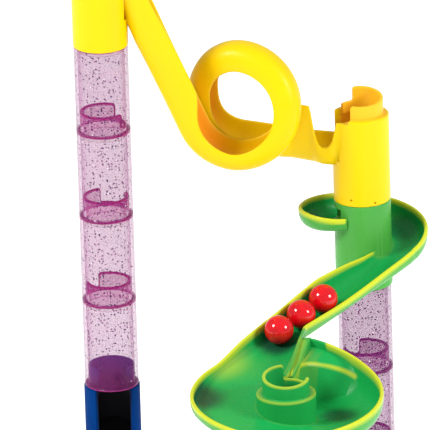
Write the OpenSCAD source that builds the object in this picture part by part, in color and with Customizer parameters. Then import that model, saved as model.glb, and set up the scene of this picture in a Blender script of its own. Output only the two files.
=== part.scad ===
// Marble run: three push-fit towers, a yellow loop chute and a green swirl chute.
// Millimetres, +Z up. The origin is the middle of the left foot's underside.
// +X runs from the left tower to the right tower, -Y is the front.

/* [Modules] */
// Height of one module, from shoulder to shoulder
pitch = 50; // [50:1:52]
// Outer radius of a clear tube
tube_r = 15; // [14.9:0.1:15.2]
// Outer radius of the left moulded hub
hub_r = 15.2; // [15.1:0.1:15.4]
// Outer radius of the two right moulded hubs
wide_hub_r = 15.8; // [15.6:0.1:15.9]
// Outer radius of the front moulded hub
front_hub_r = 16.3; // [16:0.1:16.4]
// Bore radius of tubes and sockets
bore_r = 13; // [12.9:0.05:13]
// Outer radius of a spigot's full ring
spigot_r = 12.9; // [12.8:0.05:12.9]
// Bore radius of a spigot
spigot_bore_r = 11; // [10.8:0.1:11.2]
// Height of a spigot's tall wall above the shoulder
spigot_h = 11.5; // [10:0.5:12]
// Height of a spigot's full ring above the shoulder
spigot_ring_h = 3.5; // [3:0.5:4]

/* [Feet] */
// Radius of a round foot
foot_r = 34; // [30:1:40]
// Height of a foot up to its shoulder
foot_h = 12; // [12:1:14]

/* [Towers] */
// Distance from the left tower to the right tower
right_x = 142.5; // [142:0.5:143]
// Front tower, distance right of the left tower
front_x = 81; // [80:1:82]
// Front tower, distance in front of the left tower
front_y = 150; // [149:1:151]

/* [Marbles] */
// Radius of a marble
marble_r = 8; // [7:0.5:8]
// Spacing of the three marbles along the chute
marble_gap = 19; // [18:1:20]

/* [Hidden] */

$fn = 96;

wall = 2;
shoulder_t = 3;
socket_depth = spigot_h + 1;
tall_wall_r = spigot_r - 0.1; // a spigot's tall wall is a little slimmer than its ring
chute_sides = 8;          // facets across a chute's inner profile
chute_power = 2 / 2.6;    // roundness of a chute's section: 1 is an ellipse

left_at = [0, 0];
right_at = [right_x, 0];
front_at = [front_x, -front_y];

// Level of a shoulder that has n modules under it
function level(n) = foot_h + n * pitch;

yellow = "gold";
green = "mediumseagreen";
blue = "royalblue";
pink = [0.86, 0.72, 0.82, 0.6];
purple = [0.75, 0.56, 0.73, 0.6];
red = "crimson";

// ---------- shared shapes ----------

// A pie slice of the space round the Z axis, from angle a to angle b
module slice(a, b, z0, z1, reach = 40) {
    rotate([0, 0, a])
        translate([0, 0, z0])
            rotate_extrude(angle = b - a)
                square([reach, z1 - z0]);
}

// The tall spigot on a shoulder, cut down to its ring between angles a and b
module spigot(z, a, b) {
    difference() {
        union() {
            translate([0, 0, z - shoulder_t / 2])
                cylinder(r = spigot_r, h = spigot_ring_h + shoulder_t / 2);
            translate([0, 0, z])
                cylinder(r = tall_wall_r, h = spigot_h);
        }
        translate([0, 0, z - shoulder_t])
            cylinder(r = spigot_bore_r, h = spigot_h + 2 * shoulder_t);
        slice(a, b, z + spigot_ring_h, z + spigot_h + 1);
    }
}

// Takes the top off a hub's spigot at a slant, so that its front is lower than its back
module slant_cut(z) {
    slant = 8;
    translate([0, spigot_r, z + spigot_h])
        rotate([slant, 0, 0])
            translate([-20, -40, 0])
                cube([40, 45, 12]);
}

// The body of a module: a tube with a socket below and a shoulder on top
module barrel(z, r, h = pitch) {
    difference() {
        translate([0, 0, z])
            cylinder(r = r, h = h);
        translate([0, 0, z - 1])
            cylinder(r = bore_r, h = h - shoulder_t + 1);
        translate([0, 0, z])
            cylinder(r = spigot_bore_r, h = pitch + 1);
    }
}

// One clear tube standing on the shoulder at level n
module tube(at, n, a, b) {
    translate(at) {
        barrel(level(n), tube_r);
        spigot(level(n + 1), a, b);
    }
}

// One round foot with its spigot
module foot(at) {
    rim_h = 4;
    boss_r = 18;
    translate(at) {
        rotate_extrude()
            polygon([[0, 0], [foot_r - 1, 0], [foot_r, 1], [foot_r, rim_h - 1], [foot_r - 1, rim_h],
                [boss_r + 3, rim_h + 2], [boss_r, rim_h + 5], [boss_r, foot_h], [0, foot_h]]);
        difference() {
            translate([0, 0, foot_h - 1])
                cylinder(r = tall_wall_r, h = spigot_h);
            translate([0, 0, foot_h])
                cylinder(r = spigot_bore_r, h = spigot_h + 1);
            slice(120, 200, foot_h + spigot_ring_h, foot_h + spigot_h + 1);
        }
    }
}

// ---------- swept channels ----------

// A signed power, which rounds a section between an ellipse and a box
function bulge(v, e) = sign(v) * pow(abs(v), e);

// One section of a channel, as points in space. side is the unit vector from the right wall
// to the left wall, up is the unit vector out of the channel. l and r are the distances from
// the path to the inside faces of the left and right walls, hl and hr are the wall heights over
// the floor, and tl and tr are the wall thicknesses. The path point p is on the floor's top.
// boxy squares up the corner on the right.
function channel_section(p, side, up, l, r, hl, hr, tl, tr, boxy = 1) =
    let (mid = (l - r) / 2, half = (l + r) / 2)
    concat(
        [for (k = [0:chute_sides]) let (a = 180 * k / chute_sides,
                e = chute_power / (k < chute_sides / 2 ? 1 : boxy))
            p + side * (mid + half * bulge(cos(a), e))
              + up * ((k < chute_sides / 2 ? hl : hr) * (1 - bulge(sin(a), e)))],
        [for (k = [chute_sides:-1:0]) let (a = 180 * k / chute_sides,
                e = chute_power / (k < chute_sides / 2 ? 1 : boxy),
                t = k < chute_sides / 2 ? tl : tr, h = k < chute_sides / 2 ? hl : hr)
            p + side * (mid + (half + t) * bulge(cos(a), e))
              + up * (-wall + (h + wall) * (1 - bulge(sin(a), e)))]);

// A closed skin over a list of sections that all have the same number of points
module channel(sections) {
    n = len(sections[0]);
    m = len(sections);
    half = n / 2;
    last = (m - 1) * n;
    polyhedron(
        points = [for (s = sections) each s],
        faces = concat(
            [for (i = [0:m - 2]) for (k = [0:n - 1])
                [i * n + k, (i + 1) * n + (k + 1) % n, i * n + (k + 1) % n]],
            [for (i = [0:m - 2]) for (k = [0:n - 1])
                [i * n + k, (i + 1) * n + k, (i + 1) * n + (k + 1) % n]],
            [for (k = [0:half - 2]) [k, n - 2 - k, n - 1 - k]],
            [for (k = [0:half - 2]) [k, k + 1, n - 2 - k]],
            [for (k = [0:half - 2]) [last + k, last + n - 1 - k, last + n - 2 - k]],
            [for (k = [0:half - 2]) [last + k, last + n - 2 - k, last + k + 1]]),
        convexity = 12);
}

// ---------- yellow loop chute ----------
// The loop stands in a plane turned by loop_turn. In that plane, t runs to the right and z up,
// and n is the distance behind it.

loop_turn = 20;
loop_mid = [77, 0, level(6) - 39];
loop_side = [sin(loop_turn), cos(loop_turn), 0];
loop_along = [cos(loop_turn), -sin(loop_turn), 0];
loop_start_r = 33.5;      // outer radius where the ramp arrives
loop_end_r = 33;          // outer radius where the exit leaves
loop_shift = 22.6;        // how far the loop steps back in one turn
ramp_angle = 66.5;        // steepness of the ramp
exit_angle = 8;           // steepness of the exit
ramp_len = 74;
exit_len = 56;
chute_half = 8.7;         // half the inside width of the yellow chute
chute_t = 1.8;            // its wall thickness
left_window_z = 17;       // floor of the left hub's opening, over the hub's lower edge

function ease(x) = let (c = max(0, min(1, x))) c * c * (3 - 2 * c);
function loop_r(f) = lookup(f, [[-ramp_angle, loop_start_r], [-20, 34.6], [0, 35], [45, 35], [90, 34.6],
    [135, 34.9], [180, 35.3], [210, 34.3], [240, 32.4], [270, 31], [310, 31.8], [345, loop_end_r]]);
function loop_n(f) = loop_shift * (f / 360 - 0.5);
function loop_point(t, n, z) = loop_mid + loop_along * t + loop_side * n + [0, 0, z];

// One section of the yellow chute: its outer floor is at (t, z), and it opens towards angle b.
// The section stands square to the loop, or is turned towards a hub by the part q of loop_turn.
function loop_section(t, n, z, b, near_h, far_h, q = 0) =
    let (up = loop_along * cos(b) + [0, 0, sin(b)], turn = loop_turn * (1 - q))
    channel_section(loop_point(t, n, z) + up * wall, [sin(turn), cos(turn), 0], up,
        chute_half, chute_half, far_h - wall, near_h - wall, chute_t, chute_t);

// The ramp runs down to the loop, and leans from the hub's upright opening to the chute's own
function ramp_station(s) =
    let (back = ramp_len * (1 - s),
        b = 90 - ramp_angle + ramp_angle * pow(1 - ease(s / 0.75), 1.6),
        h = min(17 / cos(b - 90 + ramp_angle), 30) - 3 * ease((s - 0.7) / 0.3))
    loop_section(-loop_start_r * sin(ramp_angle) - back * cos(ramp_angle),
        lookup(s, [[0, -21.4], [0.45, -18], [0.8, -16.4], [1, -15.4]]),
        -loop_start_r * cos(ramp_angle) + back * sin(ramp_angle), b,
        h + 4.7 * ease((1 - s) / 0.3), h - 2.7 * ease((1 - s) / 0.3), ease(1 - s / 0.25));

// The in-run keeps in front of the loop's far side until it is near the bottom
function turn_n(f) = f < 30
    ? lookup(f, [[-66.5, -15.4], [-40, -13.4], [-15, -11.9], [0, -11.2], [30, loop_n(30)]])
    : loop_n(f);
function turn_station(f) =
    let (r = loop_r(f),
        near = lookup(f, [[-66, 14], [-30, 12.5], [0, 11.5], [40, 12.5], [80, 12.9], [180, 14.2],
            [270, 14], [300, 13.3], [345, 11]]),
        far = lookup(f, [[-66, 14], [80, 13], [180, 14.2], [270, 14], [310, 13.3], [345, 14.5]]))
    loop_section(r * sin(f), turn_n(f), -r * cos(f), f + 90, near, far);

// The front wall of the exit drops from the loop to a notch and rises again at the hub
function exit_near_h(s) = lookup(s, [[0, 11], [0.3, 10], [0.436, 14.6], [0.496, 27], [0.546, 35.2],
    [0.726, 35.4], [0.776, 22], [0.816, 14], [0.846, 12], [0.885, 12.8],
    [0.92, 17], [0.955, 27.5], [1, 27.5]]);
function exit_far_h(s) = lookup(s, [[0, 14.5], [0.5, 13.5], [1, 15.5]]);
function exit_station(s) =
    let (f = 360 - exit_angle, along = exit_len * s)
    loop_section(-loop_end_r * sin(exit_angle) + along * cos(exit_angle),
        lookup(s, [[0, loop_n(f)], [0.3, 14.6], [0.5, 16.3], [0.8, 17.3], [1, 18.5]]),
        -loop_end_r * cos(exit_angle) - along * sin(exit_angle),
        f + 90 + exit_angle * ease((s - 0.3) / 0.5), exit_near_h(s), exit_far_h(s), ease((s - 0.8) / 0.2));

module loop_track() {
    channel(concat(
        [for (i = [0:8]) ramp_station(i / 9)],
        [for (i = [0:34]) turn_station(-ramp_angle + (360 - exit_angle + ramp_angle) * i / 35)],
        [for (s = [0, 0.15, 0.3, 0.436, 0.496, 0.546, 0.64, 0.726, 0.776, 0.816, 0.846, 0.885, 0.92,
            0.955, 1])
            exit_station(s)]));
}

// A hub with a socket below, a slanted floor inside and an opening to the right
module loop_left_hub() {
    z = level(6);
    floor_top = z + left_window_z;
    difference() {
        barrel(z, hub_r);
        translate([bore_r - 5, -chute_half + 0.2, floor_top - 1])
            cube([10, 2 * chute_half - 0.4, pitch - left_window_z - 4]);
    }
    spigot(z + pitch, 110, 246);
    difference() {
        translate([0, 0, z + socket_depth + 0.5])
            cylinder(r = bore_r + 0.5, h = left_window_z - socket_depth + 4);
        translate([bore_r - 1, 0, floor_top - 0.5])
            rotate([0, 14, 0])
                translate([-60, -30, 0])
                    cube([90, 60, 30]);
    }
}

module loop_right_hub() {
    z = level(4);
    hub_cut = 2;          // depth of the step cut into the shoulder's front left
    sill = 22.4;          // height of the opening's lower edge
    translate([right_x, 0, 0])
        difference() {
            union() {
                barrel(z, wide_hub_r);
                spigot(z + pitch, 103, 238);
            }
            // The opening to the left is narrow at its foot and runs up through the hub's top
            translate([-wide_hub_r - 3, -5.5, z + sill])
                cube([10, 11, 10]);
            translate([-wide_hub_r - 3, -chute_half + 0.2, z + sill + 2.6])
                cube([10, 2 * chute_half - 0.4, pitch]);
            slice(185, 238, z + pitch - hub_cut, z + pitch + spigot_h);
            slant_cut(z + pitch);
        }
}

module loop_chute() {
    color(yellow) {
        loop_left_hub();
        loop_right_hub();
        loop_track();
    }
}

// ---------- green swirl chute ----------
// The trough starts as a cup left of the right hub, goes clockwise behind it, crosses over to the
// left of the front hub and goes counter-clockwise round that in a wide bowl.

swirl_b_r = 25;           // path radius round the right hub
swirl_c_r = 42;           // path radius round the front hub
swirl_half = 9;           // half the inside width of the straight trough
hub_face = 14.4;          // where the trough's wall ends inside a hub's wall
cup_angle = 230;          // where the cup starts
bowl_end_angle = 430;     // where the bowl ends
between = front_at - right_at;
swirl_heading = atan2(-between.x, -between.y) + asin((swirl_b_r + swirl_c_r) / norm(between));
swirl_dir = [-sin(swirl_heading), -cos(swirl_heading)];
swirl_left = [cos(swirl_heading), -sin(swirl_heading)];
leave_b = -swirl_heading;
reach_c = 180 - swirl_heading;
from_b = right_at + swirl_b_r * [cos(leave_b), sin(leave_b)];
to_c = front_at + swirl_c_r * [cos(reach_c), sin(reach_c)];
straight_len = norm(to_c - from_b);
arc_b_len = swirl_b_r * (180 - leave_b) * PI / 180;

// Heights are measured up from the front hub's shoulder, and run is the distance travelled
// from the left side of the right hub.
swirl_base = level(3);
function swirl_floor(run) = swirl_base + lookup(run, [[-22, 38.5], [0, 35], [99, 17.8], [160, 8.2],
    [209, 0.1], [246, -6.8], [281, -11.5], [346, -16.5], [412, -19.5], [462, -20.5]]);
function rim_left(run) = swirl_base + lookup(run, [[-22, 43], [0, 44.5], [39, 40], [78, 33], [99, 27],
    [109, 24.5], [158, 15], [199, 10.5], [225, 5], [246, 0.5], [262, -5], [281, -8], [346, -12],
    [390, -15.5], [405, -18.5], [462, -19.3]]);
function rim_right(run) = swirl_base + lookup(run, [[-22, 44], [-17, 38.8], [0, 36], [17, 33], [24, 39],
    [99, 24], [112, 23.5], [130, 24.2], [154, 23.5], [169, 20.5], [194, 14], [220, 7.7], [246, -0.3],
    [281, -2.5], [346, -7], [412, -2], [440, 2.5], [462, 8]]);

cup_shape = 1.5;          // how fast the cup narrows
function cup_r(a) = a < 165 ? 36 : 15 + 21 * (1 - pow((a - 165) / 72, cup_shape));
function bowl_r(a) = lookup(a,
    [[reach_c, 53.5], [165, 52.2], [215, 52.2], [250, 53], [380, 53], [420, 55]]);

// The wall between the incoming trough and the end of the bowl, from its outer end to the hub
ridge_out = front_at + 53.5 * [cos(75), sin(75)];
ridge_in = front_at + hub_face * [cos(84), sin(84)];
function ridge_reach(p) =
    let (v = ridge_in - ridge_out, w = p - ridge_out)
    (v.x * w.y - v.y * w.x) / (v.y * swirl_left.x - v.x * swirl_left.y);
function hub_reach(p) =
    let (w = p - front_at, b = -(w * swirl_left), c = w * w - hub_face * hub_face)
    b * b < c ? 1000 : b - sqrt(b * b - c);

// The trough's back corner is squarer where it widens, so that marbles keep clear of it
function swirl_section(p, side, run, l, r, tl, tr) =
    let (f = swirl_floor(run), boxy = 1 + 0.6 * ease((run - 175) / 25) * ease((300 - run) / 40))
    channel_section([p.x, p.y, f], [side.x, side.y, 0], [0, 0, 1],
        l, r, rim_left(run) - f, rim_right(run) - f, tl, tr, boxy);

function wrap_b_station(a) =
    let (out = [cos(a), sin(a)], reach = max(cup_r(a) - wall - swirl_b_r, hub_face + 1.5 - swirl_b_r))
    swirl_section(right_at + swirl_b_r * out, out, swirl_b_r * (180 - a) * PI / 180,
        reach, swirl_b_r - hub_face, wall, 1);

function straight_station(s) =
    let (p = from_b + swirl_dir * s, near_b = ease((26 - s) / 20))
    swirl_section(p, swirl_left, arc_b_len + s,
        s < 88 ? swirl_half + 0.5 * near_b : min(max(ridge_reach(p), swirl_half), hub_reach(p)),
        swirl_half + 1.6 * near_b + 0.5 * ease((s - 84) / 20), wall, wall - near_b);

function wrap_c_station(a) =
    let (out = [cos(a), sin(a)])
    swirl_section(front_at + swirl_c_r * out, -out,
        arc_b_len + straight_len + swirl_c_r * (a - reach_c) * PI / 180,
        swirl_c_r - hub_face, bowl_r(a) - wall - swirl_c_r, 1, wall);

module swirl_track() {
    channel(concat(
        [for (i = [0:24]) wrap_b_station(cup_angle + (leave_b - cup_angle) * i / 24)],
        [for (i = [1:14]) straight_station(straight_len * i / 15)],
        [for (i = [0:26]) wrap_c_station(reach_c + (bowl_end_angle - reach_c) * i / 26)]));
}

// The wall that closes the end of the bowl, a wedge under the ridge
module bowl_end() {
    low = -22;
    first = bowl_end_angle - 360 - 1.5;
    translate([front_x, -front_y, swirl_base])
        intersection() {
            translate([0, 0, low])
                linear_extrude(height = 40)
                    polygon([for (q = [[hub_face, first], [54.4, first], [53.2, 73.9], [hub_face, 81]])
                        q[0] * [cos(q[1]), sin(q[1])]]);
            rotate([90, 0, 74])
                linear_extrude(height = 40, center = true)
                    polygon([[0, low + 0.4], [40, low + 0.8], [49, low + 6], [53, low + 14],
                        [54, 8.5], [50, 8], [30, 3], [0, -0.5]]);
        }
}

// The right hub: the marble drops in from above and leaves by the window on the left
module swirl_right_hub() {
    z = level(3);
    translate([right_x, 0, 0]) {
        difference() {
            barrel(z, wide_hub_r);
            rotate([0, 0, 180])
                translate([4, -chute_half, z + 37])
                    cube([20, 2 * chute_half, 9.5]);
        }
        spigot(z + pitch, 110, 200);
        difference() {
            translate([0, 0, z + 30])
                cylinder(r = bore_r + 0.5, h = 12);
            translate([-bore_r, 0, z + 37])
                rotate([0, -12, 0])
                    translate([-30, -30, 0])
                        cube([90, 60, 30]);
        }
    }
}

// The front hub: the bowl drains through its window at the back right
module swirl_front_hub() {
    z = level(2);
    low = 2.4;            // this hub is shorter than a module
    translate([front_x, -front_y, 0])
        difference() {
            union() {
                barrel(z, front_hub_r, pitch - low);
                spigot(z + pitch - low, -10, 90);
            }
            rotate([0, 0, 22])
                translate([3, -8.5, z + 31.5])
                    cube([20, 17, 12.5]);
            slant_cut(z + pitch - low);
        }
}

// A shelf inside the back right of the bowl, from its crest out to the bowl's wall. Its underside
// runs inside the bowl's own skin.
shelf_crest = [[4, 14.3, 2], [9, 26, 1.5], [17, 33, 0.5], [26, 34.5, -2], [34, 33, -4.5],
    [41, 29, -7.5], [46, 23, -12]];
bowl_mid_r = 33.7;        // radius at which the bowl's floor is lowest
bowl_mid_half = 20.3;     // from there to the middle of the bowl's wall

// A point in the middle of the bowl's skin, at the part u of the way out to the wall
function skin_point(u, a) =
    let (r = bowl_mid_r + bowl_mid_half * u,
        run = arc_b_len + straight_len + swirl_c_r * (a + 360 - reach_c) * PI / 180,
        h = (u < 0 ? rim_left(run) : rim_right(run)) - swirl_floor(run) + 1)
    [r * cos(a), r * sin(a),
        swirl_floor(run) - swirl_base - 1
            + h * (1 - pow(1 - pow(abs(u), 2 / chute_power), chute_power / 2))];

function shelf_station(k) =
    let (c = shelf_crest[k], a = lookup(k, [[0, 74], [3, 55], [6, 25]]), b = atan2(c.y, c.x),
        foot = (norm([c.x, c.y]) - lookup(k, [[0, 0.3], [1, 6], [6, 6]]) - bowl_mid_r) / bowl_mid_half)
    concat([skin_point(0.9975, a), c],
        [for (t = [0, 0.35, 0.6, 0.8, 0.92, 1]) skin_point(foot + (0.96 - foot) * t, b + (a - b) * t)]);

module bowl_shelf() {
    translate([front_x, -front_y, swirl_base])
        channel([for (k = [0:len(shelf_crest) - 1]) shelf_station(k)]);
}

module swirl_chute() {
    color(green) {
        swirl_right_hub();
        swirl_front_hub();
        swirl_track();
        bowl_end();
        bowl_shelf();
    }
}

// ---------- blue towers ----------

tower_r = 15.5;
tower_window = 86;        // width of the front window, in degrees
tower_floor = 15;         // height of the window's sill

module window_tower(at, n) {
    z = level(n);
    front = 270;
    translate(at) {
        difference() {
            union() {
                barrel(z, tower_r);
                spigot(z + pitch, front - tower_window / 2, front + tower_window / 2);
            }
            slice(front - tower_window / 2, front + tower_window / 2,
                z + tower_floor, z + pitch + spigot_h + 1);
        }
        // Slanted floor that turns the marble out to the front
        difference() {
            translate([0, 0, z + socket_depth + 0.5])
                cylinder(r = bore_r + 0.5, h = 14);
            translate([0, -bore_r, z + tower_floor])
                rotate([20, 0, 0])
                    translate([-30, -30, 0])
                        cube([60, 90, 40]);
        }
    }
}

module window_tower_left() {
    color(blue) window_tower(left_at, 1);
}

// The exit tower has a lip below its window, so that marbles drop into the tray
module exit_tower_front() {
    z = level(0);
    lip_len = 26;
    color(blue) {
        window_tower(front_at, 0);
        translate([front_x, -front_y - 11, z + tower_floor - 3])
            difference() {
                translate([-10, -lip_len - 3, 0])
                    cube([20, lip_len + 3, 8]);
                translate([-8.2, -lip_len - 4, 3])
                    cube([16.4, lip_len + 6, 6]);
                translate([-9, -lip_len - 4, -1])
                    cube([18, lip_len + 1, 1.8]);
            }
    }
}

// ---------- catch tray ----------

tray_len = 92;
tray_w = 74;
tray_h = 15;
tray_corner = 20;
tray_gap = 1;

module tray_outline(inset) {
    x = tray_w / 2 - tray_corner;
    y = tray_len / 2 - tray_corner;
    union() {
        for (sx = [-1, 1])
            for (sy = [-1, 1])
                translate([sx * x, sy * y])
                    circle(r = tray_corner - inset);
        square([2 * x, tray_len - 2 * inset], center = true);
        square([tray_w - 2 * inset, 2 * y], center = true);
    }
}

module catch_tray() {
    color(yellow)
        translate([front_x, -front_y - foot_r - tray_gap - tray_len / 2, 0])
            difference() {
                linear_extrude(height = tray_h) tray_outline(0);
                translate([0, 0, 2.5])
                    linear_extrude(height = tray_h) tray_outline(2.5);
            }
}

// ---------- feet, tubes and marbles ----------

module foot_left() { color(blue) foot(left_at); }
module foot_right() { color(blue) foot(right_at); }
module foot_front() { color(blue) foot(front_at); }

module tube_left_1() { color(pink) tube(left_at, 5, 60, 150); }
module tube_left_2() { color(pink) tube(left_at, 4, -40, 52); }
module tube_left_3() { color(pink) tube(left_at, 3, 20, 99); }
module tube_left_4() { color(pink) tube(left_at, 2, 111, 180); }
module tube_left_5() { color(pink) tube(left_at, 0, 60, 140); }
module tube_right_1() { color(purple) tube(right_at, 2, 0, 90); }
module tube_right_2() { color(purple) tube(right_at, 1, 101, 170); }
module tube_right_3() { color(purple) tube(right_at, 0, 120, 200); }
module tube_front() { color(purple) tube(front_at, 1, 60, 150); }

marble_run = 103;         // where the first marble lies along the straight trough
marble_lift = 0.6;        // it hovers this far over the trough
marble_drop = (swirl_floor(arc_b_len + 60) - swirl_floor(arc_b_len + marble_run)) / (marble_run - 60);

module marble(k) {
    s = marble_run - marble_gap * k;
    p = from_b + swirl_dir * s;
    tilt = atan(marble_drop);
    z = swirl_floor(arc_b_len + marble_run) + marble_gap * k * marble_drop;
    color(red)
        translate([p.x, p.y, z + (marble_r + marble_lift) / cos(tilt)])
            sphere(r = marble_r);
}

module marble_1() { marble(0); }
module marble_2() { marble(1); }
module marble_3() { marble(2); }

foot_left();
foot_right();
foot_front();
tube_left_1();
tube_left_2();
tube_left_3();
tube_left_4();
tube_left_5();
window_tower_left();
tube_right_1();
tube_right_2();
tube_right_3();
tube_front();
exit_tower_front();
catch_tray();
loop_chute();
swirl_chute();
marble_1();
marble_2();
marble_3();
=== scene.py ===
import math

import bpy
import bmesh
import numpy as np
from mathutils import Matrix, Vector
from mathutils.kdtree import KDTree


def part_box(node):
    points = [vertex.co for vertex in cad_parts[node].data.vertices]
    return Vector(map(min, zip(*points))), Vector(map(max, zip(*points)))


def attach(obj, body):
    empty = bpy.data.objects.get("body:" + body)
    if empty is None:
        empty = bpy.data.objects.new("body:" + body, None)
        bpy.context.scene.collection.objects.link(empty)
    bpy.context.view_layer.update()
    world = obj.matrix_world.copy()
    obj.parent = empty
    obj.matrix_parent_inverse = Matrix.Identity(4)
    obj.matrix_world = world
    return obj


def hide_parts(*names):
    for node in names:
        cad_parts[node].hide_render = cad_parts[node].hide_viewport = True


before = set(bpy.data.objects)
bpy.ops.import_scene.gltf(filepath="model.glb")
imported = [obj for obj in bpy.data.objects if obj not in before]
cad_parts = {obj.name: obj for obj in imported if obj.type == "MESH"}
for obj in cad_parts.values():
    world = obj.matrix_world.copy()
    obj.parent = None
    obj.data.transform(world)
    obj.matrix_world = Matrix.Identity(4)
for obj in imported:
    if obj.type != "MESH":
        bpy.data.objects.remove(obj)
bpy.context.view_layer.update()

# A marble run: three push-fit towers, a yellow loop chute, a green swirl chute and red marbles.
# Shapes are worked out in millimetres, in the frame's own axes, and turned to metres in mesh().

MM = 0.001


# ---------- places, from the frame ----------

def corners(node):
    """The low and the high corner of a node's box, in millimetres."""
    low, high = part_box(node)
    return np.array(low) / MM, np.array(high) / MM


def column(node):
    """Where the axis of an upright round node stands."""
    low, high = corners(node)
    return (low[:2] + high[:2]) / 2


def radius(node):
    """Half the width of an upright round node."""
    low, high = corners(node)
    return (high[0] - low[0]) / 2


LEFT = column("tube_left_1")
RIGHT = column("tube_right_1")
FRONT = column("tube_front")
FOOT_H = corners("tube_left_5")[0][2]
PITCH = (corners("tube_left_1")[0][2] - FOOT_H) / 5
TUBE_R = radius("tube_left_1")
SPIGOT_H = corners("tube_left_1")[1][2] - corners("tube_left_1")[0][2] - PITCH


def level(n):
    """Height of a shoulder that has n modules under it."""
    return FOOT_H + n * PITCH


# ---------- sizes that the frame doesn't say ----------

BORE_R = 13.0
SPIGOT_R = 12.8
SPIGOT_BORE_R = 11.0
RING_H = 3.5
SHOULDER_T = 3.0
WALL = 2.0


# ---------- small maths ----------

def ease(x):
    """A smooth step from 0 to 1."""
    c = np.clip(x, 0.0, 1.0)
    return c * c * (3 - 2 * c)


def through(points):
    """A smooth curve through (x, y) points that doesn't overshoot them (monotone cubic)."""
    xs, ys = (np.array(v, float) for v in zip(*points))
    steps = np.diff(xs)
    rises = np.diff(ys) / steps
    slopes = np.zeros(len(xs))
    for i in range(1, len(xs) - 1):
        if rises[i - 1] * rises[i] > 0:
            slopes[i] = 2 * rises[i - 1] * rises[i] / (rises[i - 1] + rises[i])
    slopes[0], slopes[-1] = rises[0], rises[-1]

    def value(x):
        x = min(max(x, xs[0]), xs[-1])
        i = min(int(np.searchsorted(xs, x, side="right")) - 1, len(xs) - 2)
        t = (x - xs[i]) / steps[i]
        return (ys[i] * (1 + 2 * t) * (1 - t) ** 2 + slopes[i] * steps[i] * t * (1 - t) ** 2
                + ys[i + 1] * t * t * (3 - 2 * t) + slopes[i + 1] * steps[i] * t * t * (t - 1))
    return value


def polar(r, degrees):
    """The point at a distance and an angle from the origin."""
    a = math.radians(degrees)
    return np.array([r * math.cos(a), r * math.sin(a)])


# ---------- meshes ----------

def mesh(name, points, faces, material):
    """A mesh object from points in millimetres."""
    data = bpy.data.meshes.new(name)
    data.from_pydata([tuple(np.array(p) * MM) for p in points], [], faces)
    data.validate()
    data.materials.append(material)
    obj = bpy.data.objects.new(name, data)
    bpy.context.scene.collection.objects.link(obj)
    return obj


def grid_faces(rows, columns, closed):
    """Quads of a grid whose columns close on themselves, and whose rows do too if closed."""
    last = rows if closed else rows - 1
    return [(i * columns + k, i * columns + (k + 1) % columns,
             (i + 1) % rows * columns + (k + 1) % columns, (i + 1) % rows * columns + k)
            for i in range(last) for k in range(columns)]


def shade(obj, angle=38):
    """Smooth shading, with edges sharper than angle left crisp."""
    for polygon in obj.data.polygons:
        polygon.use_smooth = True
    obj.data.set_sharp_from_angle(angle=math.radians(angle))
    return obj


def boolean(obj, other, operation):
    """Combines two closed solids and drops the second."""
    modifier = obj.modifiers.new("cut", "BOOLEAN")
    modifier.object = other
    modifier.operation = operation
    modifier.solver = "EXACT"
    apply_modifiers(obj)
    bpy.data.objects.remove(other)
    return obj


def apply_modifiers(obj):
    """Makes what the modifiers show the object's own mesh."""
    bpy.context.view_layer.update()
    shape = obj.evaluated_get(bpy.context.evaluated_depsgraph_get())
    data = bpy.data.meshes.new_from_object(shape)
    obj.modifiers.clear()
    obj.data = data


def tidy(obj, merge=0.01):
    """Welds points closer than merge millimetres and clears what that collapses."""
    work = bmesh.new()
    work.from_mesh(obj.data)
    bmesh.ops.remove_doubles(work, verts=work.verts, dist=merge * MM)
    bmesh.ops.dissolve_degenerate(work, edges=work.edges, dist=merge * MM / 2)
    work.to_mesh(obj.data)
    work.free()
    return obj


def outward(obj):
    """Turns the faces of a closed solid to point outward."""
    work = bmesh.new()
    work.from_mesh(obj.data)
    bmesh.ops.recalc_face_normals(work, faces=work.faces)
    work.to_mesh(obj.data)
    work.free()
    return obj


def paint(obj, name, weights):
    """Stores one number per point, for the material to read."""
    layer = obj.data.attributes.new(name, "FLOAT", "POINT")
    layer.data.foreach_set("value", np.array(weights, np.float32))


def points_of(obj):
    """An object's points, in millimetres."""
    co = np.zeros(len(obj.data.vertices) * 3, np.float32)
    obj.data.vertices.foreach_get("co", co)
    return co.reshape(-1, 3) / MM


def radius_from(at, points):
    """How far each point is from an upright axis."""
    return np.hypot(*(points[:, :2] - at).T)


def distance_to(targets, points):
    """How far each point is from the nearest target."""
    tree = KDTree(len(targets))
    for i, p in enumerate(targets):
        tree.insert(p, i)
    tree.balance()
    return np.array([tree.find(p)[2] for p in points])


def place(obj, body, node):
    """Makes a finished piece ride on a body and stand for a CAD node."""
    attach(obj, body)
    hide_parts(node)


# ---------- materials ----------

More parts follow.
